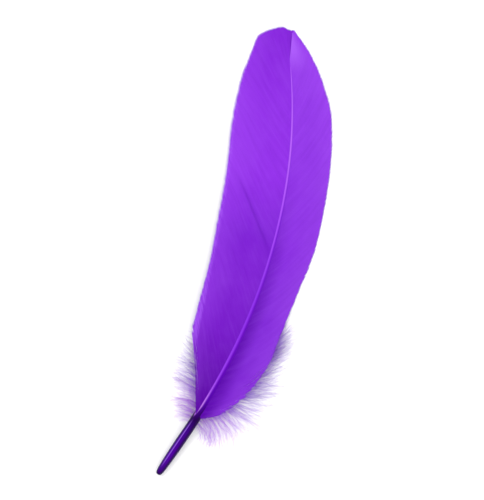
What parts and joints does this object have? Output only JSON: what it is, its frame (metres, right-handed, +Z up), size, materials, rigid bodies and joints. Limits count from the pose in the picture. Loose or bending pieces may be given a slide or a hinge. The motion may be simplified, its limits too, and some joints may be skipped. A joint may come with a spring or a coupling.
{
  "type": "goose quill feather",
  "caption": "Dyed goose quill feather with a bare quill, a gently bowed tapering shaft, a wide and a narrow vane with a blunt tip, and a fringe of down round the base.",
  "frame": {"origin": "on the surface it rests on, under the middle of the feather's box", "axes": "+Y along the feather from the quill's end to the tip, +X towards the narrow vane, +Z up from the surface"},
  "size_m": [0.0494, 0.1784, 0.0074],
  "materials": {
    "vane": "soft satin, fine parallel barbs, violet dye",
    "shaft": "smooth glossy horn, violet dye, darkest on the bare quill",
    "down": "loose matt down, pale violet where it thins out"
  },
  "bodies": {
    "root": {"feather": "vane"}
  },
  "joints": []
}
